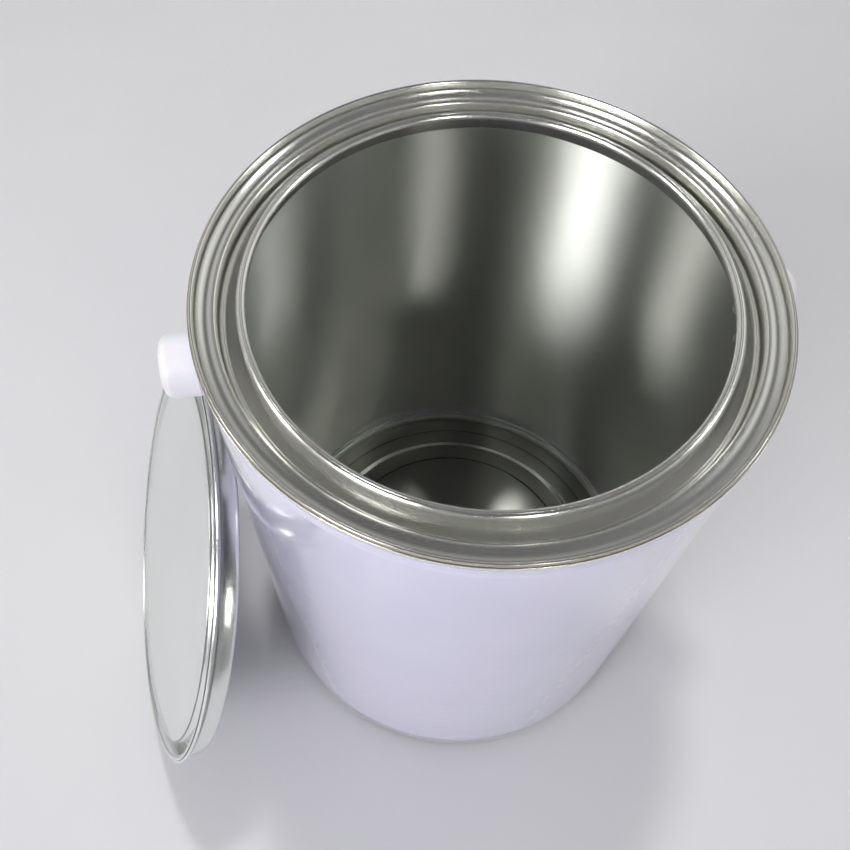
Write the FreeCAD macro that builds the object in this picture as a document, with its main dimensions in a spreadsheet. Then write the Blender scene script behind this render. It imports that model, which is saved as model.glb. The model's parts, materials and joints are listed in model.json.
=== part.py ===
"""Round lever-lid paint can: necked tinplate body, double-seamed ends, plug lid and bail.

Frame: millimetres, +Z up, origin on the floor at the centre of the can.
X runs along the bail's pivot axis; the lid leans against the -X side.
"""
import FreeCAD
import Part
import Sketcher
import math
import os

from FreeCAD import Placement, Rotation, Vector

# Driving dimensions, in millimetres and degrees, with what each one is.
SIZES = [
    ("plate", 0.25, "tinplate thickness"),
    ("seam_gap", 0.1, "gap between the folded layers of a double seam"),
    ("can_height", 235.0, "floor to the top of the upper seam"),
    ("seam_height", 2.9, "height of a double seam"),
    ("seam_radius", 89.0, "outside of the upper seam"),
    ("ledge_depth", 4.0, "top of the seam to the ledge of the ring"),
    ("channel_radius", 81.1, "outer wall of the ring's channel"),
    ("channel_depth", 7.4, "ledge to the floor of the channel"),
    ("lip_radius", 75.3, "outside of the lip around the mouth"),
    ("mouth_radius", 72.3, "open mouth"),
    ("lip_drop", 1.9, "top of the seam to the top of the lip"),
    ("lip_fold", 1.7, "height of the folded edge of the lip"),
    ("foot_radius", 86.5, "outside of the lower seam"),
    ("neck_height", 6.0, "floor to the shoulder above the lower seam"),
    ("end_rise", 3.6, "floor to the sunk panel of the bottom end"),
    ("bead_height", 1.2, "step of the rings pressed in the bottom end"),
    ("bead_one", 77.0, "outer pressed ring"),
    ("bead_two", 69.0, "middle pressed ring"),
    ("bead_three", 60.0, "inner pressed ring"),
    ("lid_radius", 83.6, "curled edge of the lid"),
    ("lid_curl", 2.4, "height of the curled edge of the lid"),
    ("lid_depth", 9.7, "top of the lid to the bottom of its plug"),
    ("plug_gap", 0.3, "play between the plug and the channel"),
    ("lid_lean", 21.4, "angle between the leaning lid and the vertical"),
    ("lid_turn", 2.7, "angle between the pivot axis and the lid's lean"),
    ("lid_rest_gap", 0.3, "space between the leaning lid and the can"),
    ("pivot_height", 209.5, "floor to the bail's pivot axis"),
    ("lug_width", 20.0, "width of the welded plate of a lug"),
    ("lug_above", 9.0, "welded plate above the pivot"),
    ("lug_below", 19.0, "welded plate below the pivot"),
    ("lug_plate", 0.8, "thickness of the welded plate"),
    ("stud_radius", 5.0, "stud that carries the ear cap"),
    ("stud_reach", 97.0, "can axis to the end of the stud"),
    ("cap_radius", 10.25, "outside of the ear cap"),
    ("cap_inner", 89.3, "can axis to the inner face of the ear cap"),
    ("cap_outer", 101.0, "can axis to the outer face of the ear cap"),
    ("cap_play", 0.08, "running clearance between stud and cap"),
    ("cap_round", 3.2, "rounding of the outer edge of the ear cap"),
    ("wire_radius", 1.75, "bail wire"),
    ("wire_start", 6.0, "pivot axis to the hidden end of the wire"),
    ("wire_reach", 95.5, "can axis to the legs of the bail"),
    ("bail_height", 125.0, "pivot axis to the middle of the bail"),
    ("bail_bend", 45.0, "radius of the bail's two bends"),
    ("grip_length", 92.0, "plastic grip"),
    ("grip_radius", 7.0, "outside of the grip"),
    ("grip_end", 5.6, "outside of the grip at its ends"),
    ("grip_play", 0.07, "running clearance between wire and grip"),
    ("bail_gap", 0.6, "space between the resting grip and the can"),
]


def make_sheet(doc):
    """Put every driving dimension in a named cell."""
    sheet = doc.addObject("Spreadsheet::Sheet", "Sizes")
    for row, (name, value, meaning) in enumerate(SIZES, start=1):
        sheet.set(f"A{row}", meaning)
        sheet.set(f"B{row}", str(value))
        sheet.setAlias(f"B{row}", name)
    doc.recompute()
    return sheet


def bound(text):
    """Write a formula of size names as an expression on the sheet."""
    words = text.split()
    names = {name for name, _, _ in SIZES}
    return " ".join("Sizes." + word if word in names else word for word in words)


def value_of(sheet, text):
    """Give the number that a formula of size names stands for now."""
    result = sheet.evalExpression(bound(text))
    return float(getattr(result, "Value", result))


def origin_plane(body, role):
    """Find one of the body's own origin planes."""
    for feature in body.Origin.OriginFeatures:
        if feature.Role == role:
            return feature
    raise RuntimeError(f"no plane {role} in {body.Label}")


def add_sketch(body, name, role):
    """Attach a new sketch to one of the body's origin planes."""
    sketch = body.newObject("Sketcher::SketchObject", name)
    sketch.AttachmentSupport = [(origin_plane(body, role), "")]
    sketch.MapMode = "FlatFace"
    return sketch


def draw_stepped_outline(sheet, sketch, corners):
    """Draw a closed outline of upright and level lines whose places follow the sheet."""
    points = [Vector(value_of(sheet, x), value_of(sheet, z), 0) for x, z in corners]
    count = len(points)
    for index, point in enumerate(points):
        sketch.addGeometry(Part.LineSegment(point, points[(index + 1) % count]), False)
    for index in range(count):
        following = (index + 1) % count
        sketch.addConstraint(Sketcher.Constraint("Coincident", index, 2, following, 1))
    for index, (x_text, z_text) in enumerate(corners):
        point = points[index]
        upright = abs(points[(index + 1) % count].x - point.x) < 1e-6
        sketch.addConstraint(Sketcher.Constraint("Vertical" if upright else "Horizontal", index))
        kind, text = ("DistanceX", x_text) if upright else ("DistanceY", z_text)
        value = point.x if upright else point.y
        if abs(value) < 1e-9:
            axis = -2 if upright else -1
            sketch.addConstraint(Sketcher.Constraint("PointOnObject", index, 1, axis))
            continue
        number = sketch.addConstraint(Sketcher.Constraint(kind, -1, 1, index, 1, value))
        sketch.setExpression(f"Constraints[{number}]", bound(text))


def offset_corner(path, index, side):
    """Move a corner of a folded path by one plate thickness to one side."""
    x_text, z_text = path[index][:2]
    shift_x = 0
    shift_z = 0
    for first in (index - 1, index):
        if 0 <= first < len(path) - 1:
            step = path[first][2]
            shift_x += side * {"up": -1, "down": 1}.get(step, 0)
            shift_z += side * {"out": 1, "in": -1}.get(step, 0)
    x_text = f"{x_text} + ( {shift_x} ) * plate" if shift_x else x_text
    z_text = f"{z_text} + ( {shift_z} ) * plate" if shift_z else z_text
    return x_text, z_text


def folded_outline(path, side):
    """Turn a path of corners, each with its next direction, into a closed plate outline.

    side is 1 when the second face lies to the left of the path, -1 to the right.
    """
    first_face = [(x_text, z_text) for x_text, z_text, _ in path]
    second_face = [offset_corner(path, index, side) for index in range(len(path))]
    return first_face + second_face[::-1]


def turned_body(doc, sheet, label, corners):
    """Revolve a stepped outline of (radius, height) about the body's own Z axis."""
    body = doc.addObject("PartDesign::Body", label)
    body.Label = label
    sketch = add_sketch(body, label + "_outline", "XZ_Plane")
    draw_stepped_outline(sheet, sketch, corners)
    doc.recompute()
    turn = body.newObject("PartDesign::Revolution", label + "_turn")
    turn.Profile = sketch
    turn.ReferenceAxis = (sketch, ["V_Axis"])
    turn.Angle = 360
    sketch.Visibility = False
    doc.recompute()
    return body


def circle_edges(shape, radius, height):
    """Name the circular edges of a turned shape at one radius and height."""
    names = []
    for index, edge in enumerate(shape.Edges, start=1):
        curve = edge.Curve
        if not isinstance(curve, Part.Circle):
            continue
        if abs(curve.Radius - radius) < 1e-4 and abs(curve.Center.z - height) < 1e-4:
            names.append(f"Edge{index}")
    return names


def round_corners(doc, sheet, body, name, radius_text, corners):
    """Fillet the circular edges of a turned body at the given corners."""
    names = []
    for x_text, z_text in corners:
        found = circle_edges(body.Shape, value_of(sheet, x_text), value_of(sheet, z_text))
        if not found:
            raise RuntimeError(f"{body.Label}: no edge at {x_text}, {z_text}")
        names += found
    base = body.Tip
    fillet = body.newObject("PartDesign::Fillet", name)
    fillet.Base = (base, names)
    fillet.Radius = value_of(sheet, radius_text)
    fillet.setExpression("Radius", bound(radius_text))
    body.Tip = fillet
    doc.recompute()


# Radii of the five layers of a double seam, outermost first, from its outside radius.
def seam_layers(outside):
    """Give the (outer, inner) radius formulas of the five layers of a seam."""
    pitch = "( plate + seam_gap )"
    return [(f"{outside} - {layer} * {pitch}", f"{outside} - {layer} * {pitch} - plate")
            for layer in range(5)]


def make_body_shell(doc, sheet):
    """Welded tinplate wall with a hook at each end and a necked foot."""
    _, hook, _, wall, _ = seam_layers("seam_radius")
    _, low_hook, _, neck, _ = seam_layers("foot_radius")
    hook_top = "can_height - 2 * plate - 1.5 * seam_gap"
    hook_end = "can_height - seam_height + plate + 1.5 * seam_gap"
    low_top = "seam_height - plate - 1.5 * seam_gap"
    low_end = "2 * plate + 1.5 * seam_gap"
    path = [
        (hook[0], hook_end, "up"),
        (hook[0], hook_top, "in"),
        (wall[1], hook_top, "down"),
        (wall[1], "neck_height + plate", "in"),
        (neck[1], "neck_height + plate", "down"),
        (neck[1], low_end, "out"),
        (low_hook[0], low_end, "up"),
        (low_hook[0], low_top, "end"),
    ]
    body = turned_body(doc, sheet, "body_shell", folded_outline(path, 1))
    round_corners(doc, sheet, body, "shoulder_inside", "3 * plate", [
        (wall[1], "neck_height + plate"), (neck[0], "neck_height")])
    round_corners(doc, sheet, body, "shoulder_outside", "4 * plate", [
        (wall[0], "neck_height"), (neck[1], "neck_height + plate")])
    return body


def make_top_ring(doc, sheet):
    """Lever ring: seamed edge, sunk ledge, channel for the lid's plug, folded lip."""
    panel, _, hook, _, chuck = seam_layers("seam_radius")
    ledge = "can_height - ledge_depth"
    floor = "can_height - ledge_depth - channel_depth"
    lip = "can_height - lip_drop"
    path = [
        (hook[1], "can_height - 2 * plate - 5 * seam_gap", "down"),
        (hook[1], "can_height - seam_height", "out"),
        (panel[0], "can_height - seam_height", "up"),
        (panel[0], "can_height", "in"),
        (chuck[1], "can_height", "down"),
        (chuck[1], ledge, "in"),
        ("channel_radius", ledge, "down"),
        ("channel_radius", floor, "in"),
        ("lip_radius", floor, "up"),
        ("lip_radius", lip, "in"),
        ("mouth_radius", lip, "down"),
        ("mouth_radius", "can_height - lip_drop - lip_fold", "end"),
    ]
    body = turned_body(doc, sheet, "top_ring", folded_outline(path, 1))
    round_corners(doc, sheet, body, "seam_top_inside", "1.6 * plate", [
        (panel[1], "can_height - plate"), (chuck[0], "can_height - plate")])
    round_corners(doc, sheet, body, "seam_top", "2.6 * plate", [
        (panel[0], "can_height"), (chuck[1], "can_height")])
    round_corners(doc, sheet, body, "lip_inside", "4.6 * plate", [
        ("lip_radius - plate", lip + " - plate"), ("mouth_radius + plate", lip + " - plate")])
    round_corners(doc, sheet, body, "lip_outside", "5.6 * plate", [
        ("lip_radius", lip), ("mouth_radius", lip)])
    round_corners(doc, sheet, body, "channel_inside", "6 * plate", [
        ("channel_radius", floor), ("lip_radius", floor)])
    round_corners(doc, sheet, body, "channel_outside", "7 * plate", [
        ("channel_radius + plate", floor + " - plate"), ("lip_radius - plate", floor + " - plate")])
    round_corners(doc, sheet, body, "ledge_edge_below", "3 * plate", [
        ("channel_radius + plate", ledge + " - plate")])
    round_corners(doc, sheet, body, "ledge_edge", "4 * plate", [("channel_radius", ledge)])
    return body


def make_bottom_end(doc, sheet):
    """Bottom end: seamed edge and a sunk panel with pressed rings."""
    panel, _, hook, _, chuck = seam_layers("foot_radius")
    raised = "end_rise + bead_height"
    path = [
        (hook[1], "2 * plate + 5 * seam_gap", "up"),
        (hook[1], "seam_height", "out"),
        (panel[0], "seam_height", "down"),
        (panel[0], "0 * plate", "in"),
        (chuck[1], "0 * plate", "up"),
        (chuck[1], "end_rise", "in"),
        ("bead_one", "end_rise", "up"),
        ("bead_one", raised, "in"),
        ("bead_two", raised, "down"),
        ("bead_two", "end_rise", "in"),
        ("bead_three", "end_rise", "up"),
        ("bead_three", raised, "in"),
        ("0 * plate", raised, "end"),
    ]
    return turned_body(doc, sheet, "bottom_end", folded_outline(path, -1))


def make_compound(doc, sheet, label, outside, low, high):
    """Sealing compound squeezed into the head of a double seam."""
    hook = seam_layers(outside)[1]
    wall = seam_layers(outside)[3]
    corners = [(wall[1], low), (hook[0], low), (hook[0], high), (wall[1], high)]
    return turned_body(doc, sheet, label, corners)


def make_lid(doc, sheet):
    """Plug lid: flat panel, deep plug bead that fills the ring's channel, curled edge."""
    inner = "lip_radius + 2 * plate"
    outer = "channel_radius - plug_gap"
    curl_end = "lid_radius - 6 * plate"
    path = [
        ("0 * plate", "lid_depth", "out"),
        (inner, "lid_depth", "down"),
        (inner, "plate", "out"),
        (outer + " - plate", "plate", "up"),
        (outer + " - plate", "lid_depth", "out"),
        ("lid_radius", "lid_depth", "down"),
        ("lid_radius", "lid_depth - lid_curl", "in"),
        (curl_end, "lid_depth - lid_curl", "end"),
    ]
    body = turned_body(doc, sheet, "lid", folded_outline(path, -1))
    round_corners(doc, sheet, body, "plug_inside", "5 * plate", [
        (inner, "plate"), (outer + " - plate", "plate")])
    round_corners(doc, sheet, body, "plug_outside", "6 * plate", [
        (outer, "0 * plate"), ("lip_radius + plate", "0 * plate")])
    round_corners(doc, sheet, body, "curl_inside", "3 * plate", [
        ("lid_radius - plate", "lid_depth - plate"),
        ("lid_radius - plate", "lid_depth - lid_curl + plate"), (outer, "lid_depth - plate")])
    round_corners(doc, sheet, body, "curl_outside", "4 * plate", [
        ("lid_radius", "lid_depth"), ("lid_radius", "lid_depth - lid_curl"),
        (outer + " - plate", "lid_depth")])
    round_corners(doc, sheet, body, "panel_edge_below", "2 * plate", [
        ("lip_radius + plate", "lid_depth - plate")])
    round_corners(doc, sheet, body, "panel_edge", "3 * plate", [(inner, "lid_depth")])
    return body


def place_lid(sheet, lid):
    """Stand the lid on its curled edge with its plug leaning on the can's wall."""
    lean = math.radians(value_of(sheet, "lid_lean"))
    turn = value_of(sheet, "lid_turn")
    radius = value_of(sheet, "lid_radius")
    depth = value_of(sheet, "lid_depth")
    plug = value_of(sheet, "channel_radius - plug_gap")
    curl = value_of(sheet, "lid_curl")
    bend = value_of(sheet, "6 * plate")
    wall = value_of(sheet, seam_layers("seam_radius")[3][0] + " + lid_rest_gap")
    # The rounded outer corner of the plug is what touches the wall.
    touch_along = (plug - bend) * math.sin(lean) + (depth - bend) * math.cos(lean) + bend
    # The lowest point of the curled edge stands on the floor.
    edge_bend = value_of(sheet, "4 * plate")
    low_radius = radius - edge_bend
    low_depth = curl - edge_bend
    height = low_radius * math.cos(lean) + low_depth * math.sin(lean) + edge_bend
    centre = Vector(-(wall + touch_along), 0, height)
    # Local Z, out of the lid's face, points away from the can and up.
    tilt = Rotation(Vector(0, 1, 0), math.degrees(lean) - 90)
    swing = Rotation(Vector(0, 0, 1), turn)
    rotation = swing.multiply(tilt)
    top_centre = swing.multVec(centre)
    lid.Placement = Placement(top_centre - rotation.multVec(Vector(0, 0, depth)), rotation)
    return top_centre, rotation.multVec(Vector(0, 0, 1))


def primitive(doc, kind, name, sizes, base):
    """Add a Part primitive with its sizes and place bound to the sheet."""
    item = doc.addObject(kind, name)
    for prop, text in sizes.items():
        item.setExpression(prop, bound(text))
    for axis, text in zip("xyz", base):
        if text != "0":
            item.setExpression(f"Placement.Base.{axis}", bound(text))
    return item


def make_lug(doc, side, turn):
    """Steel lug: a plate bent to the wall, spot-welded, with a stud for the ear cap."""
    wall = seam_layers("seam_radius")[3][0]
    low = "pivot_height - lug_below"
    tall = "lug_below + lug_above"
    outer = primitive(doc, "Part::Cylinder", f"{side}_lug_outer", {
        "Radius": f"{wall} + 0.2 * plate + lug_plate", "Height": tall}, ("0", "0", low))
    inner = primitive(doc, "Part::Cylinder", f"{side}_lug_inner", {
        "Radius": f"{wall} + 0.2 * plate", "Height": tall}, ("0", "0", low))
    band = doc.addObject("Part::Cut", f"{side}_lug_band")
    band.Base = outer
    band.Tool = inner
    window = primitive(doc, "Part::Box", f"{side}_lug_window", {
        "Length": "seam_radius", "Width": "lug_width", "Height": tall},
        ("0", "-0.5 * lug_width", low))
    plate = doc.addObject("Part::Common", f"{side}_lug_plate")
    plate.Base = band
    plate.Tool = window
    stud = primitive(doc, "Part::Cylinder", f"{side}_lug_stud", {
        "Radius": "stud_radius", "Height": f"stud_reach - ( {wall} ) - 0.5 * lug_plate"},
        (f"{wall} + 0.5 * lug_plate", "0", "pivot_height"))
    stud.Placement.Rotation = Rotation(Vector(0, 1, 0), 90)
    lug = doc.addObject("Part::Fuse", f"{side}_ear_lug")
    lug.Base = plate
    lug.Tool = stud
    lug.Placement = Placement(Vector(), Rotation(Vector(0, 0, 1), turn))
    return lug


def make_cap(doc, sheet, side, turn, bail_angle):
    """White plastic ear cap that turns on the stud and holds the end of the wire."""
    bore = "stud_radius + cap_play"
    bore_end = "stud_reach + 3 * cap_play - cap_inner"
    length = "cap_outer - cap_inner"
    corners = [
        (bore, "0 * plate"), ("cap_radius", "0 * plate"), ("cap_radius", length),
        ("0 * plate", length), ("0 * plate", bore_end), (bore, bore_end),
    ]
    blank = turned_body(doc, sheet, f"{side}_cap_blank", corners)
    round_corners(doc, sheet, blank, f"{side}_cap_edge", "cap_round", [("cap_radius", length)])
    round_corners(doc, sheet, blank, f"{side}_cap_foot", "0.25 * cap_round", [
        ("cap_radius", "0 * plate")])
    hole = primitive(doc, "Part::Cylinder", f"{side}_cap_hole", {
        "Radius": "wire_radius + 0.2 * plate", "Height": "2 * cap_radius"},
        ("0", "wire_start - 0.2 * plate", "wire_reach - cap_inner"))
    hole.Placement.Rotation = Rotation(Vector(1, 0, 0), -90)
    cap = doc.addObject("Part::Cut", f"{side}_ear_cap")
    cap.Base = blank
    cap.Tool = hole
    # Local Z becomes the pivot axis, and local Y the direction of the bail's leg.
    outward = Vector(math.cos(math.radians(turn)), 0, 0)
    leg = Rotation(Vector(1, 0, 0), bail_angle).multVec(Vector(0, 1, 0))
    rotation = Rotation(leg.cross(outward), leg, outward, "ZXY")
    height = value_of(sheet, "pivot_height")
    inner = value_of(sheet, "cap_inner")
    cap.Placement = Placement(outward * inner + Vector(0, 0, height), rotation)
    return cap


def make_wire(doc, sheet):
    """Bail wire: two straight legs, two round bends and a straight middle."""
    body = doc.addObject("PartDesign::Body", "bail_wire")
    body.Label = "bail_wire"
    path = add_sketch(body, "bail_route", "XY_Plane")
    reach = value_of(sheet, "wire_reach")
    start = value_of(sheet, "wire_start")
    top = value_of(sheet, "bail_height")
    bend = value_of(sheet, "bail_bend")
    up = Vector(0, 0, 1)
    right = Part.Circle(Vector(reach - bend, top - bend, 0), up, bend)
    left = Part.Circle(Vector(bend - reach, top - bend, 0), up, bend)
    path.addGeometry([
        Part.LineSegment(Vector(reach, start, 0), Vector(reach, top - bend, 0)),
        Part.ArcOfCircle(right, 0, math.pi / 2),
        Part.LineSegment(Vector(reach - bend, top, 0), Vector(bend - reach, top, 0)),
        Part.ArcOfCircle(left, math.pi / 2, math.pi),
        Part.LineSegment(Vector(-reach, top - bend, 0), Vector(-reach, start, 0)),
    ], False)
    for first, first_end, second, second_end in (
            (0, 2, 1, 1), (1, 2, 2, 1), (2, 2, 3, 1), (3, 2, 4, 1)):
        path.addConstraint(Sketcher.Constraint("Tangent", first, first_end, second, second_end))
    for line, direction in ((0, "Vertical"), (2, "Horizontal"), (4, "Vertical")):
        path.addConstraint(Sketcher.Constraint(direction, line))
    for kind, geometry, end, value, text in (
            ("DistanceX", 0, 1, reach, "wire_reach"),
            ("DistanceY", 0, 1, start, "wire_start"),
            ("DistanceX", 4, 2, -reach, "-1 * wire_reach"),
            ("DistanceY", 4, 2, start, "wire_start"),
            ("DistanceY", 2, 1, top, "bail_height")):
        number = path.addConstraint(Sketcher.Constraint(kind, -1, 1, geometry, end, value))
        path.setExpression(f"Constraints[{number}]", bound(text))
    for arc in (1, 3):
        number = path.addConstraint(Sketcher.Constraint("Radius", arc, bend))
        path.setExpression(f"Constraints[{number}]", bound("bail_bend"))
    section = add_sketch(body, "wire_section", "XZ_Plane")
    section.AttachmentOffset = Placement(Vector(0, 0, -start), Rotation())
    section.setExpression("AttachmentOffset.Base.z", bound("-1 * wire_start"))
    radius = value_of(sheet, "wire_radius")
    section.addGeometry(Part.Circle(Vector(reach, 0, 0), up, radius), False)
    number = section.addConstraint(Sketcher.Constraint("Radius", 0, radius))
    section.setExpression(f"Constraints[{number}]", bound("wire_radius"))
    number = section.addConstraint(Sketcher.Constraint("DistanceX", -1, 1, 0, 3, reach))
    section.setExpression(f"Constraints[{number}]", bound("wire_reach"))
    section.addConstraint(Sketcher.Constraint("PointOnObject", 0, 3, -1))
    doc.recompute()
    pipe = body.newObject("PartDesign::AdditivePipe", "bail_pipe")
    pipe.Profile = section
    pipe.Spine = (path, [f"Edge{number}" for number in range(1, 6)])
    doc.recompute()
    return body


def make_grip(doc, sheet):
    """Moulded grip that turns on the straight middle of the bail wire."""
    bore = "wire_radius + grip_play"
    corners = [
        (bore, "0 * plate"), ("grip_end", "0 * plate"),
        ("grip_end", "0.09 * grip_length"), ("grip_radius", "0.09 * grip_length"),
        ("grip_radius", "0.91 * grip_length"), ("grip_end", "0.91 * grip_length"),
        ("grip_end", "grip_length"), (bore, "grip_length"),
    ]
    body = turned_body(doc, sheet, "bail_grip", corners)
    round_corners(doc, sheet, body, "grip_edges", "0.12 * grip_radius", [
        ("grip_radius", "0.09 * grip_length"), ("grip_radius", "0.91 * grip_length"),
        ("grip_end", "0 * plate"), ("grip_end", "grip_length")])
    return body


def check_document(doc, pieces):
    """Stop if any feature failed or any piece is missing or invalid."""
    for item in doc.Objects:
        if "Invalid" in item.State or "Error" in item.State:
            raise RuntimeError(f"{item.Name} failed: {item.State}")
    for piece in pieces:
        if piece.Shape.isNull() or not piece.Shape.isValid() or not piece.Shape.Solids:
            raise RuntimeError(f"{piece.Label} has no valid solid")


def main():
    """Build every piece, place it and write it."""
    doc = FreeCAD.newDocument("paint_can")
    sheet = make_sheet(doc)
    pieces = [make_body_shell(doc, sheet), make_top_ring(doc, sheet), make_bottom_end(doc, sheet)]
    pieces.append(make_compound(
        doc, sheet, "top_seam_compound", "seam_radius",
        "can_height - 2 * plate - seam_gap", "can_height - plate - 1.5 * seam_gap"))
    pieces.append(make_compound(
        doc, sheet, "bottom_seam_compound", "foot_radius",
        "plate + 0.5 * seam_gap", "2 * plate + seam_gap"))
    lid = make_lid(doc, sheet)
    centre, normal = place_lid(sheet, lid)
    pieces.append(lid)
    # The bail rests at the back with its grip against the wall.
    wall = value_of(sheet, seam_layers("seam_radius")[3][0])
    reach = wall + value_of(sheet, "grip_radius + bail_gap")
    bail_angle = -math.degrees(math.acos(reach / value_of(sheet, "bail_height")))
    height = value_of(sheet, "pivot_height")
    for side, turn in (("right", 0), ("left", 180)):
        pieces.append(make_lug(doc, side, turn))
        pieces.append(make_cap(doc, sheet, side, turn, bail_angle))
    hang = Rotation(Vector(1, 0, 0), bail_angle)
    wire = make_wire(doc, sheet)
    wire.Placement = Placement(Vector(0, 0, height), hang)
    pieces.append(wire)
    grip = make_grip(doc, sheet)
    along = Rotation(Vector(0, 1, 0), 90)
    middle = Vector(0, 0, height) + hang.multVec(Vector(0, value_of(sheet, "bail_height"), 0))
    half = value_of(sheet, "grip_length") / 2
    grip.Placement = Placement(middle - Vector(half, 0, 0), along)
    pieces.append(grip)
    doc.recompute()
    check_document(doc, pieces)
    os.makedirs("parts", exist_ok=True)
    for piece in pieces:
        piece.Shape.exportStep(f"parts/{piece.Label}.step")
        box = piece.Shape.BoundBox
        print(f"{piece.Label}: {len(piece.Shape.Solids)} solid, {piece.Shape.Volume:.1f} mm3,",
              f"x {box.XMin:.2f} {box.XMax:.2f} y {box.YMin:.2f} {box.YMax:.2f}",
              f"z {box.ZMin:.2f} {box.ZMax:.2f}")
    print("lid top centre", centre, "normal", normal, "bail angle", bail_angle)
    print("grip axis", middle)


main()
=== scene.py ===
import json
import math

import bmesh
import bpy
from mathutils import Matrix, Vector, noise


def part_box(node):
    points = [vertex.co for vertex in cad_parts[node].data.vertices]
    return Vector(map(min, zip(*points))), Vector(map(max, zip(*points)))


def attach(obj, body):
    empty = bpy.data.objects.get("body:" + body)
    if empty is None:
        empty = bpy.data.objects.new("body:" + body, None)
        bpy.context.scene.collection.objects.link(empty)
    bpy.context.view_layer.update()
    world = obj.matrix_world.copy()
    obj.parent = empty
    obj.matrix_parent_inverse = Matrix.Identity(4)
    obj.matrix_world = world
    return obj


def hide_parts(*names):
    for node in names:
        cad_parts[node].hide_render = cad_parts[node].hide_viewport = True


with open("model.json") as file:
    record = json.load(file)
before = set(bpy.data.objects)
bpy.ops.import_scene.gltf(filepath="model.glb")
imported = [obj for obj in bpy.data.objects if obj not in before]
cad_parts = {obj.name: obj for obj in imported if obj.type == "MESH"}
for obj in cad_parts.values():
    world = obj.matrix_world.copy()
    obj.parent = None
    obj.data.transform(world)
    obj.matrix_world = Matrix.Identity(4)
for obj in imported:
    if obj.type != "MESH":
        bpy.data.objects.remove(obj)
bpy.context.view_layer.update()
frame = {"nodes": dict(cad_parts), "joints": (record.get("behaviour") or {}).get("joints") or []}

# ---------------------------------------------------------------- sizes, in millimetres
MM = 0.001
TURN_STEPS = 288            # steps round the can
SMALL_STEPS = 96            # steps round the caps and the grip
WIRE_STEPS = 24             # steps round the wire
MARK_STEPS = 28             # steps round a weld mark
ARC_STEPS = 7               # steps in a quarter of a bend
SUPPORT = 0.12              # a loop this far from each bend keeps the flats flat
LONGEST = 9.0               # longest stretch of an outline without a point
ON_AXIS = 1e-6              # a point nearer the axis than this is on it

PLATE = 0.25                # tinplate thickness
LAYER = 0.35                # one layer of a double seam with its gap
CAN_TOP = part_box("top_ring")[1].z / MM
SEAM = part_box("top_ring")[1].x / MM
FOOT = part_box("bottom_end")[1].x / MM
WALL = SEAM - 3 * LAYER     # outside of the can's wall
NECK = FOOT - 3 * LAYER     # outside of the necked foot
NECK_TOP = 6.0
SEAM_HEIGHT = 2.9
HEAD_GAP = 0.15             # gap between two folds in the head of a seam
HOOK_BEND = 0.33            # middle of a hook's fold inside a seam
COAT = 0.08                 # outer skin of the wall that carries the enamel

LEDGE = CAN_TOP - 4.0       # top of the ring's ledge
CHANNEL = 81.1              # outer wall of the ring's channel
CHANNEL_FLOOR = LEDGE - 7.4
LIP = 75.3                  # outside of the lip round the mouth
MOUTH = 72.3
LIP_TOP = CAN_TOP - 1.9
LIP_FOLD = 1.7

END_PANEL = 3.6             # sunk panel of the bottom end
END_BEAD = 1.2              # height of its pressed rings
END_BEADS = (77.0, 69.0, 60.0)  # where the panel steps up, down and up again

LID_RADIUS = 83.6
LID_DEPTH = 9.7
LID_CURL = 2.4
LID_TOP = Vector((-126.179, -5.950, 78.416))    # centre of the face of the leaning lid
PLUG_OUTSIDE = CHANNEL - 0.3
PLUG_INSIDE = LIP + 2 * PLATE

PIVOT = Vector((0, 0, 209.5))
STUD = 5.0
STUD_END = 97.0
STUD_PLAY = 0.08            # room between a cap and its stud
STUD_END_PLAY = 0.24
CAP_RADIUS = 10.25
CAP_INNER = 89.3
CAP_OUTER = 101.0
WIRE = 1.75
WIRE_START = 6.0
WIRE_REACH = 95.5
BAIL_HEIGHT = 125.0
BAIL_BEND = 45.0
GRIP_LENGTH = 92.0
GRIP_RADIUS = 7.0

joints = {joint["name"]: joint for joint in frame["joints"]}


# ---------------------------------------------------------------- outlines
def rounded(path, closed=False):
    """Turn corners (radius, height, bend) into points, with an arc at every bend."""
    corners = [Vector(corner[:2]) for corner in path]
    bends = [corner[2] if len(corner) > 2 else 0 for corner in path]
    count = len(corners)
    points = []
    for index, corner in enumerate(corners):
        inner = closed or 0 < index < count - 1
        if not inner or not bends[index]:
            points.append(corner)
            continue
        before = (corners[index - 1] - corner).normalized()
        after = (corners[(index + 1) % count] - corner).normalized()
        opening = before.angle(after)
        reach = bends[index] / math.tan(opening / 2)
        centre = corner + (before + after).normalized() * (bends[index] / math.sin(opening / 2))
        first = corner + before * reach - centre
        sweep = math.pi - opening
        if first.x * after.y - first.y * after.x < 0:
            sweep = -sweep
        steps = max(3, math.ceil(abs(sweep) / (math.pi / 2) * ARC_STEPS))
        support = min(SUPPORT, bends[index] / 3)
        points.append(corner + before * (reach + support))
        for step in range(steps + 1):
            points.append(centre + Matrix.Rotation(sweep * step / steps, 2) @ first)
        points.append(corner + after * (reach + support))
    return divided(points, closed)


def divided(points, closed):
    """Add points to long straight stretches."""
    result = []
    count = len(points)
    for index, point in enumerate(points):
        result.append(point)
        if index == count - 1 and not closed:
            break
        following = points[(index + 1) % count]
        parts = math.ceil((following - point).length / LONGEST)
        result += [point.lerp(following, part / parts) for part in range(1, parts)]
    return result


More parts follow.
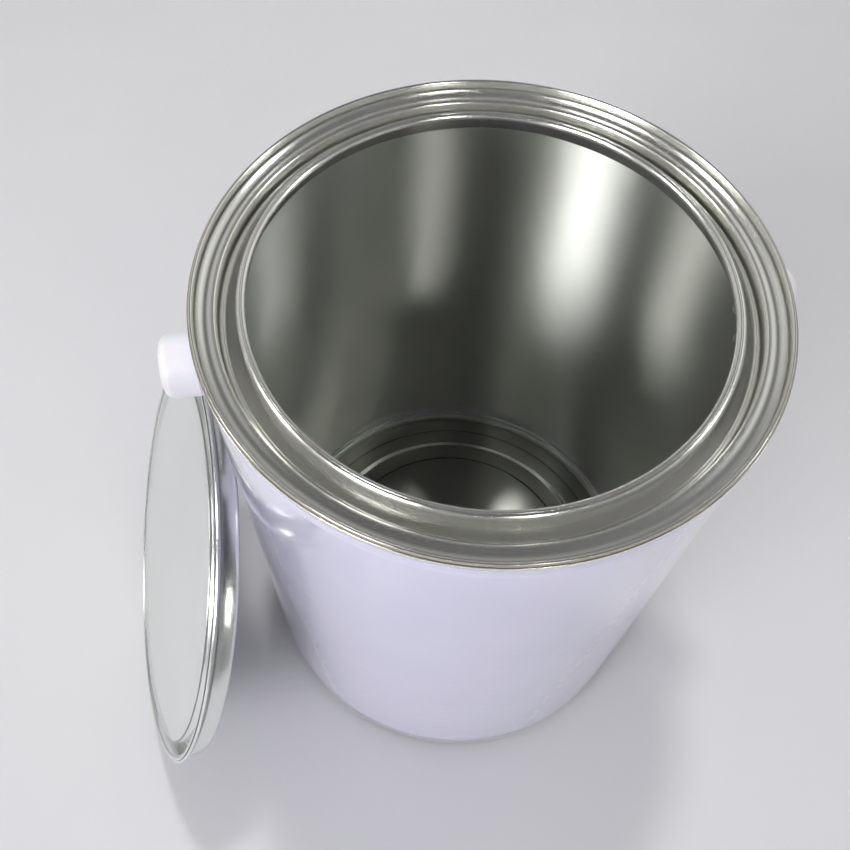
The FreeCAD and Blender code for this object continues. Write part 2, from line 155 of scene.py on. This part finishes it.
def sheet(path, thickness=PLATE):
    """Closed outline of a folded sheet whose middle follows the path."""
    middle = rounded(path)
    count = len(middle)
    near, far = [], []
    for index, point in enumerate(middle):
        along = middle[min(index + 1, count - 1)] - middle[max(index - 1, 0)]
        across = Vector((-along.y, along.x)).normalized() * thickness / 2
        if point.x < ON_AXIS:
            across = Vector((0, math.copysign(thickness / 2, across.y)))
        near.append(point + across)
        far.append(point - across)
    return near + far[::-1]


# ---------------------------------------------------------------- meshes
def spin(name, outline, steps=TURN_STEPS):
    """Turn a closed outline of (radius, height) points about Z into a mesh, in metres."""
    mesh = bmesh.new()
    rings = []
    for radius, height in outline:
        if radius < ON_AXIS:
            rings.append([mesh.verts.new((0, 0, height * MM))])
            continue
        ring = []
        for step in range(steps):
            angle = 2 * math.pi * step / steps
            across, along = radius * math.cos(angle), radius * math.sin(angle)
            ring.append(mesh.verts.new((across * MM, along * MM, height * MM)))
        rings.append(ring)
    for index, ring in enumerate(rings):
        following = rings[(index + 1) % len(rings)]
        if len(ring) == 1 and len(following) == 1:
            continue
        for step in range(steps):
            after = (step + 1) % steps
            corners = [ring[step % len(ring)], ring[after % len(ring)],
                       following[after % len(following)], following[step % len(following)]]
            mesh.faces.new(list(dict.fromkeys(corners)))
    return finish_mesh(name, mesh)


def finish_mesh(name, mesh):
    """Make an object with smooth shading from a bmesh."""
    bmesh.ops.recalc_face_normals(mesh, faces=mesh.faces)
    data = bpy.data.meshes.new(name)
    mesh.to_mesh(data)
    mesh.free()
    data.shade_smooth()
    piece = bpy.data.objects.new(name, data)
    bpy.context.collection.objects.link(piece)
    return piece


def tube(name, line, radius, steps):
    """Round bar along a line of points, with closed flat ends, in metres."""
    mesh = bmesh.new()
    rings = []
    count = len(line)
    side = None
    for index, point in enumerate(line):
        along = (line[min(index + 1, count - 1)] - line[max(index - 1, 0)]).normalized()
        side = along.orthogonal() if side is None else side - along * side.dot(along)
        side.normalize()
        other = along.cross(side)
        ring = []
        for step in range(steps):
            angle = 2 * math.pi * step / steps
            out = side * math.cos(angle) + other * math.sin(angle)
            ring.append(mesh.verts.new((point + out * radius) * MM))
        rings.append(ring)
    for ring, following in zip(rings, rings[1:]):
        for step in range(steps):
            after = (step + 1) % steps
            mesh.faces.new((ring[step], ring[after], following[after], following[step]))
    mesh.faces.new(rings[0])
    mesh.faces.new(rings[-1])
    return finish_mesh(name, mesh)


def settle(piece, origin, axis, side):
    """Place a piece that was turned about Z: its Z along axis, its X towards side."""
    up = axis.normalized()
    across = (side - up * side.dot(up)).normalized()
    turn = Matrix((across, up.cross(across), up)).transposed()
    piece.matrix_world = Matrix.Translation(origin * MM) @ turn.to_4x4()


def declare(piece, body, slot, material, *nodes):
    """Hang a piece on its body, give it its material and hide the nodes it stands for; the slot is not
    used.
    """
    piece.data.materials.append(material)
    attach(piece, body)
    if nodes:
        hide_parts(*nodes)
    return piece


# ---------------------------------------------------------------- materials
LINES_A_METRE = 4200        # rolling lines in the tin, across their direction
FINE_RELIEF = 0.00003       # depth of the finest relief, in metres
DUST_CELLS = 170.0          # places for a speck of dust along a metre
DUST_FREE = 0.6             # share of those places without a speck
DUST_COLOUR = (0.9, 0.9, 0.88)


def start_material(name, settings):
    """New material whose shader holds the given constants."""
    material = bpy.data.materials.new(name)
    material.use_nodes = True
    tree = material.node_tree
    shader = tree.nodes["Principled BSDF"]
    for socket, value in settings.items():
        shader.inputs[socket].default_value = value
    return material, tree, shader


def add(tree, kind, inputs=None, **settings):
    """Add a node with its settings; an input is a number or another node's socket."""
    node = tree.nodes.new(kind)
    for name, value in settings.items():
        setattr(node, name, value)
    for name, value in (inputs or {}).items():
        if isinstance(value, bpy.types.NodeSocket):
            tree.links.new(value, node.inputs[name])
        else:
            node.inputs[name].default_value = value
    return node


def place_of(tree):
    """Socket with the point's place on its own piece."""
    return add(tree, "ShaderNodeTexCoord").outputs["Object"]


def stretched(tree, place, scale):
    """Place scaled by a different number along each axis."""
    return add(tree, "ShaderNodeVectorMath", {0: place, 1: scale}, operation="MULTIPLY").outputs[0]


def round_grain(tree, place, slow, fast):
    """Place stretched so that its noise runs in fine lines round the Z axis."""
    parts = add(tree, "ShaderNodeSeparateXYZ", {0: place})
    flat = add(tree, "ShaderNodeVectorMath", {0: place, 1: (1, 1, 0)}, operation="MULTIPLY")
    radius = add(tree, "ShaderNodeVectorMath", {0: flat.outputs[0]}, operation="LENGTH")
    across = add(tree, "ShaderNodeMath", {0: radius.outputs["Value"], 1: parts.outputs["Z"]},
                 operation="ADD")
    joined = add(tree, "ShaderNodeCombineXYZ", {
        "X": parts.outputs["X"], "Y": parts.outputs["Y"], "Z": across.outputs[0]})
    return stretched(tree, joined.outputs[0], (slow, slow, fast))


def noise_of(tree, vector, scale=1.0, detail=3.0, roughness=0.55):
    """Soft noise value at a place."""
    return add(tree, "ShaderNodeTexNoise", {
        "Vector": vector, "Scale": scale, "Detail": detail, "Roughness": roughness}).outputs[0]


def ranged(tree, value, low, high, start=0.3, end=0.7):
    """Spread a noise value between two numbers."""
    return add(tree, "ShaderNodeMapRange", {
        "Value": value, "From Min": start, "From Max": end,
        "To Min": low, "To Max": high}).outputs["Result"]


def tinted(tree, value, first, second, start=0.3, end=0.7):
    """Blend two colours by a noise value."""
    ramp = add(tree, "ShaderNodeValToRGB", {"Fac": value})
    ramp.color_ramp.elements[0].position = start
    ramp.color_ramp.elements[0].color = (*first, 1)
    ramp.color_ramp.elements[1].position = end
    ramp.color_ramp.elements[1].color = (*second, 1)
    return ramp.outputs["Color"]


def bumped(tree, height, strength, distance, normal=None):
    """Normal tilted by a height."""
    inputs = {"Height": height, "Strength": strength, "Distance": distance}
    if normal is not None:
        inputs["Normal"] = normal
    return add(tree, "ShaderNodeBump", inputs).outputs["Normal"]


def dust_of(tree, place):
    """Value that is 1 on a few tiny specks of dust and 0 elsewhere."""
    cells = add(tree, "ShaderNodeTexVoronoi", {"Vector": place, "Scale": DUST_CELLS})
    near = ranged(tree, cells.outputs["Distance"], 1.0, 0.0, 0.025, 0.045)
    shade = add(tree, "ShaderNodeSeparateXYZ", {0: cells.outputs["Color"]})
    some = ranged(tree, shade.outputs["X"], 0.0, 1.0, DUST_FREE, DUST_FREE + 0.02)
    return add(tree, "ShaderNodeMath", {0: near, 1: some}, operation="MULTIPLY").outputs[0]


def painted_shade_below(tree, place, tint, height):
    """The tint, much darker below a height in metres: painted shade where the can's foot meets the
    floor.
    """
    level = add(tree, "ShaderNodeSeparateXYZ", {0: place}).outputs["Z"]
    kept = ranged(tree, level, 0.16, 1.0, height - 0.0002, height + 0.0002)
    return add(tree, "ShaderNodeVectorMath", {0: tint, 1: kept}, operation="MULTIPLY").outputs[0]


def tinplate(name, dark, light, smooth, rough, stretch, grain, specks, breaks=14, metal=1.0, painted_shade_height=None):
    """
    Bright tin with fine rolling lines round the can, small specks and a little dust.

    The lines change this many times a metre (breaks) and stand out by grain; specks is the relief of
    the small specks; smooth and rough bound the roughness, which is stretched up and down; metal is
    the share that shines as bare metal; below the height given last, in metres, the tin is painted dark
    as shade at the foot.
    """
    material, tree, shader = start_material(name, {
        "Anisotropic": stretch, "Anisotropic Rotation": 0.25})
    place = place_of(tree)
    lines = noise_of(tree, round_grain(tree, place, breaks, LINES_A_METRE), 1.0, 3.0, 0.7)
    cloud = noise_of(tree, place, 18.0, 3.0)
    speckle = noise_of(tree, place, 1900.0, 2.0)
    dust = dust_of(tree, place)
    tint = tinted(tree, cloud, dark, light)
    # Painted shade: below the given height the tint is darkened to stand for the contact shadow at the
    # can's foot.
    if painted_shade_height:
        tint = painted_shade_below(tree, place, tint, painted_shade_height)
    dusty = add(tree, "ShaderNodeMix", {"Factor": dust}, data_type="RGBA")
    clean, white = dusty.inputs[6], dusty.inputs[7]
    tree.links.new(tint, clean)
    white.default_value = (*DUST_COLOUR, 1)
    tree.links.new(dusty.outputs[2], shader.inputs["Base Color"])
    tree.links.new(ranged(tree, dust, metal, 0.2, 0.0, 1.0), shader.inputs["Metallic"])
    tree.links.new(ranged(tree, lines, smooth, rough), shader.inputs["Roughness"])
    fine = bumped(tree, lines, grain, FINE_RELIEF)
    tree.links.new(bumped(tree, speckle, specks, FINE_RELIEF, fine), shader.inputs["Normal"])
    return material


def enamel():
    """Glossy white enamel with a faint lavender cast and a soft orange peel."""
    material, tree, shader = start_material("white_enamel", {
        "Coat Weight": 1.0, "Coat Roughness": 0.05, "IOR": 1.6})
    place = place_of(tree)
    cloud = noise_of(tree, place, 25.0, 3.0)
    peel = noise_of(tree, place, 420.0, 2.0)
    scuffs = noise_of(tree, round_grain(tree, place, 90, 900), 1.0, 5.0, 0.65)
    colour = tinted(tree, cloud, (0.70, 0.68, 0.87), (0.73, 0.71, 0.895))
    tree.links.new(colour, shader.inputs["Base Color"])
    tree.links.new(ranged(tree, scuffs, 0.14, 0.24), shader.inputs["Roughness"])
    tree.links.new(bumped(tree, peel, 0.06, 0.0002), shader.inputs["Normal"])
    return material


def plastic(name, dark, light):
    """Moulded white plastic, a little cloudy, with a fine satin grain."""
    material, tree, shader = start_material(name, {
        "IOR": 1.5, "Subsurface Weight": 0.25, "Subsurface Scale": 0.003})
    place = place_of(tree)
    cloud = noise_of(tree, place, 120.0, 3.0)
    grain = noise_of(tree, place, 3200.0, 2.0)
    tree.links.new(tinted(tree, cloud, dark, light), shader.inputs["Base Color"])
    tree.links.new(ranged(tree, grain, 0.32, 0.46), shader.inputs["Roughness"])
    tree.links.new(bumped(tree, grain, 0.1, FINE_RELIEF), shader.inputs["Normal"])
    return material


def steel(name, dark, light, smooth, rough):
    """Zinc-bright steel with drawing lines and dull patches."""
    material, tree, shader = start_material(name, {"Metallic": 1.0})
    place = place_of(tree)
    patches = noise_of(tree, place, 140.0, 4.0)
    lines = noise_of(tree, stretched(tree, place, (200, 2600, 2600)), 1.0, 3.0)
    tree.links.new(tinted(tree, patches, dark, light), shader.inputs["Base Color"])
    tree.links.new(ranged(tree, patches, smooth, rough), shader.inputs["Roughness"])
    tree.links.new(bumped(tree, lines, 0.15, 0.00004), shader.inputs["Normal"])
    return material


def sealing_compound():
    """Dull rubbery compound that seals the seams."""
    material, tree, shader = start_material("seam_rubber", {"IOR": 1.5})
    cloud = noise_of(tree, place_of(tree), 500.0, 3.0)
    colour = tinted(tree, cloud, (0.30, 0.27, 0.22), (0.38, 0.34, 0.28))
    tree.links.new(colour, shader.inputs["Base Color"])
    tree.links.new(ranged(tree, cloud, 0.6, 0.8), shader.inputs["Roughness"])
    return material


RING_TIN = tinplate(
    "ring_tin", (0.80, 0.80, 0.755), (0.85, 0.85, 0.81), smooth=0.19, rough=0.25,
    stretch=0.6, grain=0.025, specks=0.08, breaks=20, metal=0.84)
WALL_TIN = tinplate(
    "inside_tin", (0.74, 0.75, 0.71), (0.78, 0.79, 0.75), smooth=0.31, rough=0.39,
    stretch=1.0, grain=0.1, specks=0.8, breaks=200)
# The bottom end's foot carries painted shade, darker below the seam's height, for the contact shadow on
# the floor.
END_TIN = tinplate(
    "end_tin", (0.40, 0.40, 0.38), (0.47, 0.47, 0.45), smooth=0.1, rough=0.16,
    stretch=0.3, grain=0.05, specks=0.1, painted_shade_height=SEAM_HEIGHT * MM)
LID_TIN = tinplate(
    "lid_tin", (0.74, 0.76, 0.74), (0.78, 0.80, 0.78), smooth=0.22, rough=0.27,
    stretch=0.3, grain=0.02, specks=0.04, metal=0.86)
ENAMEL = enamel()
PLASTIC = plastic("cap_plastic", (0.82, 0.82, 0.84), (0.87, 0.87, 0.89))
GRIP_PLASTIC = plastic("grip_plastic", (0.80, 0.80, 0.82), (0.85, 0.85, 0.87))
LUG_STEEL = steel("lug_tinned_steel", (0.55, 0.55, 0.54), (0.70, 0.70, 0.69), 0.22, 0.38)
WIRE_STEEL = steel("galvanised_wire", (0.55, 0.56, 0.57), (0.72, 0.73, 0.74), 0.25, 0.42)
RUBBER = sealing_compound()


# ---------------------------------------------------------------- the can
def make_wall():
    """The welded wall: the bare sheet and the enamelled skin on its outside."""
    middle = WALL - PLATE / 2
    hook = SEAM - LAYER - PLATE / 2
    low_middle = NECK - PLATE / 2
    low_hook = FOOT - LAYER - PLATE / 2
    top = CAN_TOP - 2 * PLATE - HEAD_GAP - PLATE / 2
    low = 2 * PLATE + HEAD_GAP + PLATE / 2
    hook_end = SEAM_HEIGHT - 0.5
    skin_end = SEAM_HEIGHT - 1.0
    fold = 0.34
    neck_bend = 1.1
    skin_gap = 0.01
    inner, low_inner = middle - COAT / 2, low_middle - COAT / 2
    inside_path = [
        (hook, CAN_TOP - hook_end),
        (hook, top, fold),
        (inner, top, fold),
        (inner, NECK_TOP, neck_bend),
        (low_inner, NECK_TOP, neck_bend),
        (low_inner, low, fold),
        (low_hook, low, fold),
        (low_hook, hook_end),
    ]
    inside = spin("can_wall_inside", sheet(inside_path, PLATE - COAT - skin_gap))
    declare(inside, "can", "bare_tinplate", WALL_TIN, "body_shell")
    skin = middle + PLATE / 2 - COAT / 2
    low_skin = low_middle + PLATE / 2 - COAT / 2
    outside_path = [
        (skin, CAN_TOP - skin_end),
        (skin, NECK_TOP, neck_bend),
        (low_skin, NECK_TOP, neck_bend),
        (low_skin, skin_end),
    ]
    outside = spin("can_wall_enamel", sheet(outside_path, COAT))
    declare(outside, "can", "enamelled_tinplate", ENAMEL, "body_shell")


def make_ring():
    """Lever ring: double seam, chuck wall, ledge, channel and curled lip."""
    panel = SEAM - PLATE / 2
    hook = SEAM - 2 * LAYER - PLATE / 2
    chuck = SEAM - 4 * LAYER - PLATE / 2
    top = CAN_TOP - PLATE / 2
    top_bend = 0.62
    seam_low = CAN_TOP - SEAM_HEIGHT + PLATE / 2
    channel = CHANNEL + PLATE / 2
    floor = CHANNEL_FLOOR - PLATE / 2
    floor_bend = 1.9
    lip_top = LIP_TOP - PLATE / 2
    lip_bend = 1.36
    path = [
        (hook, CAN_TOP - 1.1),
        (hook, seam_low, HOOK_BEND),
        (panel - 0.06, seam_low, HOOK_BEND),
        (panel, top, top_bend),
        (chuck, top, top_bend),
        (chuck - 0.3, LEDGE - 0.55, 0.75),
        (CHANNEL + 1.5, LEDGE + 0.12, 2.5),
        (channel, LEDGE - 0.05, 1.0),
        (channel, floor, floor_bend),
        (LIP - PLATE / 2, floor, floor_bend),
        (LIP - PLATE / 2, lip_top, lip_bend),
        (MOUTH + PLATE / 2, lip_top, lip_bend),
        (MOUTH + PLATE / 2, LIP_TOP - LIP_FOLD),
    ]
    ring = spin("lever_ring", sheet(path))
    declare(ring, "can", "bare_tinplate", RING_TIN, "top_ring")


def make_bottom():
    """Bottom end: double seam and a sunk panel with pressed rings."""
    panel = FOOT - PLATE / 2
    hook = FOOT - 2 * LAYER - PLATE / 2
    chuck = FOOT - 4 * LAYER - PLATE / 2
    seam_high = SEAM_HEIGHT - PLATE / 2
    low = PLATE / 2
    low_bend = 0.5
    flat = END_PANEL + PLATE / 2
    raised = flat + END_BEAD
    slope = 0.8
    bead_bend = 0.7
    path = [
        (hook, 1.1),
        (hook, seam_high, HOOK_BEND),
        (panel, seam_high, HOOK_BEND),
        (panel, low, low_bend),
        (chuck, low, low_bend),
        (chuck, flat, 0.8),
    ]
    level, following = flat, raised
    for radius in END_BEADS:
        path.append((radius + slope, level, bead_bend))
        path.append((radius - slope, following, bead_bend))
        level, following = following, level
    path.append((0, level))
    end = spin("can_bottom", sheet(path))
    declare(end, "can", "bare_tinplate", END_TIN, "bottom_end")


def make_lid():
    """Plug lid: flat panel, deep plug, curled edge; local Z points out of its face."""
    half = PLATE / 2
    face = LID_DEPTH - half
    plug_bend = 1.4
    rim = LID_RADIUS - half
    rim_bend = 0.85
    curl_low = LID_DEPTH - LID_CURL + half
    path = [
        (0, face),
        (PLUG_INSIDE - half, face, 0.6),
        (PLUG_INSIDE - half, half, plug_bend),
        (PLUG_OUTSIDE - half, half, plug_bend),
        (PLUG_OUTSIDE - half, face, 0.7),
        (rim, face, rim_bend),
        (rim, curl_low, rim_bend),
        (LID_RADIUS - 6 * PLATE, curl_low),
    ]
    lid = spin("plug_lid", sheet(path))
    normal = Vector(joints["lid_lift_off"]["axis"])
    settle(lid, LID_TOP - normal * LID_DEPTH, normal, Vector((0, 0, 1)))
    declare(lid, "lid", "lid_tinplate", LID_TIN, "lid")


def make_weld_mark(name, azimuth, height, size):
    """Small raised mark inside the wall where a lug is spot-welded; sizes in millimetres."""
    mesh = bmesh.new()
    inner = WALL - PLATE
    tallness = 1.25
    raggedness = 0.16
    # Share of the mark's size and how far it stands out of the wall, from the rim to the middle.
    rises = [(1.0, -0.05), (0.86, 0.02), (0.7, 0.22), (0.52, 0.3), (0.34, 0.2), (0.17, 0.09)]
    rings = []
    for share, rise in rises:
        ring = []
        for step in range(MARK_STEPS):
            angle = 2 * math.pi * step / MARK_STEPS
            wobble = noise.noise(Vector((3 * math.cos(angle), 3 * math.sin(angle), size)))
            ragged = 1 + raggedness * wobble
            across = share * size * ragged * math.cos(angle)
            up = tallness * share * size * ragged * math.sin(angle)
            turn = math.radians(azimuth) + across / inner
            radius = inner - rise
            ring.append(mesh.verts.new(Vector((
                radius * math.cos(turn), radius * math.sin(turn), height + up)) * MM))
        rings.append(ring)
    for ring, following in zip(rings, rings[1:]):
        for step in range(MARK_STEPS):
            after = (step + 1) % MARK_STEPS
            mesh.faces.new((ring[step], ring[after], following[after], following[step]))
    mesh.faces.new(rings[-1])
    mesh.faces.new(rings[0])
    declare(finish_mesh(name, mesh), "can", "bare_tinplate", RING_TIN)


# ---------------------------------------------------------------- ears and bail
def bail_direction():
    """Direction of the bail's legs as it rests, from the pivot to the grip."""
    grip = Vector(joints["grip_spin"]["pos_m"]) / MM
    return (grip - PIVOT).normalized()


def make_caps():
    """Plastic ear caps, hollow over their studs."""
    length = CAP_OUTER - CAP_INNER
    bore = STUD + STUD_PLAY
    bore_end = STUD_END + STUD_END_PLAY - CAP_INNER
    outline = [
        (bore, 0),
        (CAP_RADIUS, 0, 0.8),
        (CAP_RADIUS, length, 3.2),
        (0, length),
        (0, bore_end),
        (bore, bore_end),
    ]
    for side, direction in (("right", 1), ("left", -1)):
        cap = spin(f"{side}_cap", rounded(outline, closed=True), SMALL_STEPS)
        out = Vector((direction, 0, 0))
        settle(cap, PIVOT + out * CAP_INNER, out, bail_direction())
        declare(cap, "bail", "white_plastic", PLASTIC, f"{side}_ear_cap")


def make_wire():
    """Bail wire: two legs, two bends and a straight middle."""
    leg = bail_direction()
    corner = BAIL_HEIGHT - BAIL_BEND
    leg_points = 8
    bend_points = 24
    line = []
    for side in (1, -1):
        part = []
        for step in range(leg_points):
            high = WIRE_START + (corner - WIRE_START) * step / leg_points
            part.append(PIVOT + Vector((side * WIRE_REACH, 0, 0)) + leg * high)
        for step in range(bend_points + 1):
            angle = math.pi / 2 * step / bend_points
            across = WIRE_REACH - BAIL_BEND + BAIL_BEND * math.cos(angle)
            high = corner + BAIL_BEND * math.sin(angle)
            part.append(PIVOT + Vector((side * across, 0, 0)) + leg * high)
        line += part if side == 1 else part[::-1]
    wire = tube("bail", line, WIRE, WIRE_STEPS)
    declare(wire, "bail", "bail_steel", WIRE_STEEL, "bail_wire")


def make_grip():
    """Moulded grip with a thin collar at each end and shallow grooves for the fingers."""
    bore = WIRE + 0.07
    neck = GRIP_RADIUS - 1.4
    groove = GRIP_RADIUS - 0.6
    collar = 0.09 * GRIP_LENGTH
    grooves = 9
    pitch = (GRIP_LENGTH - 2 * collar) / (grooves + 1)
    outline = [
        (bore, 0),
        (neck, 0, 0.8),
        (neck, collar, 0.6),
        (GRIP_RADIUS, collar, 0.84),
    ]
    for number in range(1, grooves + 1):
        middle = collar + pitch * number
        outline += [
            (GRIP_RADIUS, middle - 1.2, 0.6),
            (groove, middle - 0.5, 0.4),
            (groove, middle + 0.5, 0.4),
            (GRIP_RADIUS, middle + 1.2, 0.6),
        ]
    outline += [
        (GRIP_RADIUS, GRIP_LENGTH - collar, 0.84),
        (neck, GRIP_LENGTH - collar, 0.6),
        (neck, GRIP_LENGTH, 0.8),
        (bore, GRIP_LENGTH),
    ]
    grip = spin("grip", rounded(outline, closed=True), SMALL_STEPS)
    centre = Vector(joints["grip_spin"]["pos_m"]) / MM
    along = Vector((1, 0, 0))
    settle(grip, centre - along * GRIP_LENGTH / 2, along, Vector((0, 0, 1)))
    declare(grip, "grip", "white_plastic", GRIP_PLASTIC, "bail_grip")


def dress_node(node, material):
    """Give a CAD node that keeps its shape a finished material."""
    for slot in frame["nodes"][node].material_slots:
        slot.material = material


make_wall()
make_ring()
make_bottom()
make_lid()
for side, azimuth in (("right", 0), ("left", 180)):
    make_weld_mark(f"{side}_weld_mark_upper", azimuth + 2.0, PIVOT.z - 9.0, 2.3)
    make_weld_mark(f"{side}_weld_mark_lower", azimuth - 2.5, PIVOT.z - 17.0, 1.9)
make_caps()
make_wire()
make_grip()
for node in ("right_ear_lug", "left_ear_lug"):
    dress_node(node, LUG_STEEL)
for node in ("top_seam_compound", "bottom_seam_compound"):
    dress_node(node, RUBBER)


# ---------------------------------------------------------------- floor, light and camera
FLOOR_SIZE = 8              # in metres

# What the bright metal mirrors: azimuth, elevation, half width in degrees, brightness, colour.
ROOM_LIGHTS = [
    (219, 35, 13, 34.0, (1.0, 1.0, 1.0)),
    (281, 36, 5, 38.0, (1.0, 1.0, 0.96)),
    (173, 34, 9, 22.0, (1.0, 1.0, 0.97)),
    (354, 33, 7, 16.0, (0.95, 0.98, 1.0)),
    (120, 42, 26, 0.4, (1.0, 0.99, 0.96)),
    (30, 38, 26, 0.6, (0.99, 1.0, 0.98)),
]
ROOM_WALLS = 0.42           # brightness low in the room, as the metal mirrors it
ROOM_CEILING = 0.035        # and high in the room
ROOM_PALE = (0.47, 0.47, 0.48)  # even light on everything that doesn't mirror

LAMP_TARGET = (0, 0, 0.1)


def make_floor():
    """Large pale matt floor."""
    bpy.ops.mesh.primitive_plane_add(size=FLOOR_SIZE)
    floor = bpy.context.object
    floor.name = "floor"
    material, tree, shader = start_material("pale_paper", {"Roughness": 0.6})
    cloud = noise_of(tree, place_of(tree), 3.0, 3.0)
    colour = tinted(tree, cloud, (0.70, 0.70, 0.715), (0.74, 0.74, 0.75))
    tree.links.new(colour, shader.inputs["Base Color"])
    floor.data.materials.append(material)


def area_light(name, place, size, power, colour):
    """Soft square light that points at the can's middle; place and size in metres."""
    light = bpy.data.lights.new(name, "AREA")
    light.shape = "SQUARE"
    light.size = size
    light.energy = power
    light.color = colour
    lamp = bpy.data.objects.new(name, light)
    lamp.location = place
    aim = Vector(LAMP_TARGET) - Vector(place)
    lamp.rotation_euler = aim.to_track_quat("-Z", "Y").to_euler()
    lamp.visible_glossy = False
    bpy.context.collection.objects.link(lamp)


def toward(azimuth, elevation):
    """Unit vector towards a place in the room; azimuth 0 is +X and 90 is +Y, in degrees."""
    a, e = math.radians(azimuth), math.radians(elevation)
    return Vector((math.cos(a) * math.cos(e), math.sin(a) * math.cos(e), math.sin(e)))


def room_glow(tree, direction):
    """Colour of the room in a direction: soft bright windows, pale side walls, dim ceiling."""
    total = None
    for azimuth, elevation, width, brightness, colour in ROOM_LIGHTS:
        facing = add(tree, "ShaderNodeVectorMath", {
            0: direction, 1: toward(azimuth, elevation)}, operation="DOT_PRODUCT")
        shape = add(tree, "ShaderNodeMapRange", {
            "Value": facing.outputs["Value"], "From Min": math.cos(math.radians(width)),
            "From Max": math.cos(math.radians(width * 0.45)), "To Max": brightness},
            interpolation_type="SMOOTHSTEP")
        glow = add(tree, "ShaderNodeVectorMath", {
            0: colour, "Scale": shape.outputs["Result"]}, operation="SCALE").outputs[0]
        total = glow if total is None else add(
            tree, "ShaderNodeVectorMath", {0: total, 1: glow}, operation="ADD").outputs[0]
    heading = add(tree, "ShaderNodeSeparateXYZ", {0: direction})
    sideways = add(tree, "ShaderNodeMath", {0: heading.outputs["X"]}, operation="ABSOLUTE")
    side_walls = ranged(tree, sideways.outputs[0], 0.4, 1.15, 0.0, 0.8)
    walls = add(tree, "ShaderNodeMapRange", {
        "Value": heading.outputs["Z"], "From Min": 0.25, "From Max": 0.8,
        "To Min": ROOM_WALLS, "To Max": ROOM_CEILING}, interpolation_type="SMOOTHSTEP")
    room = add(tree, "ShaderNodeMath", {
        0: walls.outputs["Result"], 1: side_walls}, operation="MULTIPLY").outputs[0]
    return add(tree, "ShaderNodeVectorMath", {0: total, 1: room}, operation="ADD").outputs[0]


def make_sky():
    """Even pale light all round; what the metal mirrors has windows and dim walls."""
    world = bpy.data.worlds.new("studio")
    bpy.context.scene.world = world
    world.use_nodes = True
    tree = world.node_tree
    background = tree.nodes["Background"]
    direction = add(tree, "ShaderNodeTexCoord").outputs["Generated"]
    glow = room_glow(tree, direction)
    rays = add(tree, "ShaderNodeLightPath")
    choice = add(tree, "ShaderNodeMix", {
        "Factor": rays.outputs["Is Glossy Ray"]}, data_type="RGBA")
    pale, mirrored = choice.inputs[6], choice.inputs[7]
    pale.default_value = (*ROOM_PALE, 1)
    tree.links.new(glow, mirrored)
    tree.links.new(choice.outputs[2], background.inputs["Color"])


def make_camera():
    """Camera high above the can's front left, looking down into the mouth."""
    data = bpy.data.cameras.new("camera")
    data.sensor_width = 36.0
    data.lens = 37.86
    data.shift_x = 0.0195
    data.shift_y = -0.0478
    data.clip_start = 0.01
    camera = bpy.data.objects.new("camera", data)
    place = (-0.05049, -0.16015, 0.44170)
    right = Vector((0.98908, -0.14704, 0.01012))
    up = Vector((0.11939, 0.83957, 0.52997))
    turn = Matrix((right, up, right.cross(up))).transposed()
    camera.matrix_world = Matrix.Translation(place) @ turn.to_4x4()
    bpy.context.collection.objects.link(camera)
    bpy.context.scene.camera = camera


make_floor()
make_sky()
area_light("top_window", (0.05, 0.40, 1.60), size=0.14, power=7.5, colour=(1, 0.99, 0.97))
area_light("left_window", (-1.25, -0.95, 1.0), size=0.8, power=15, colour=(0.97, 0.96, 1))
make_camera()
bpy.context.scene.view_settings.view_transform = "Standard"
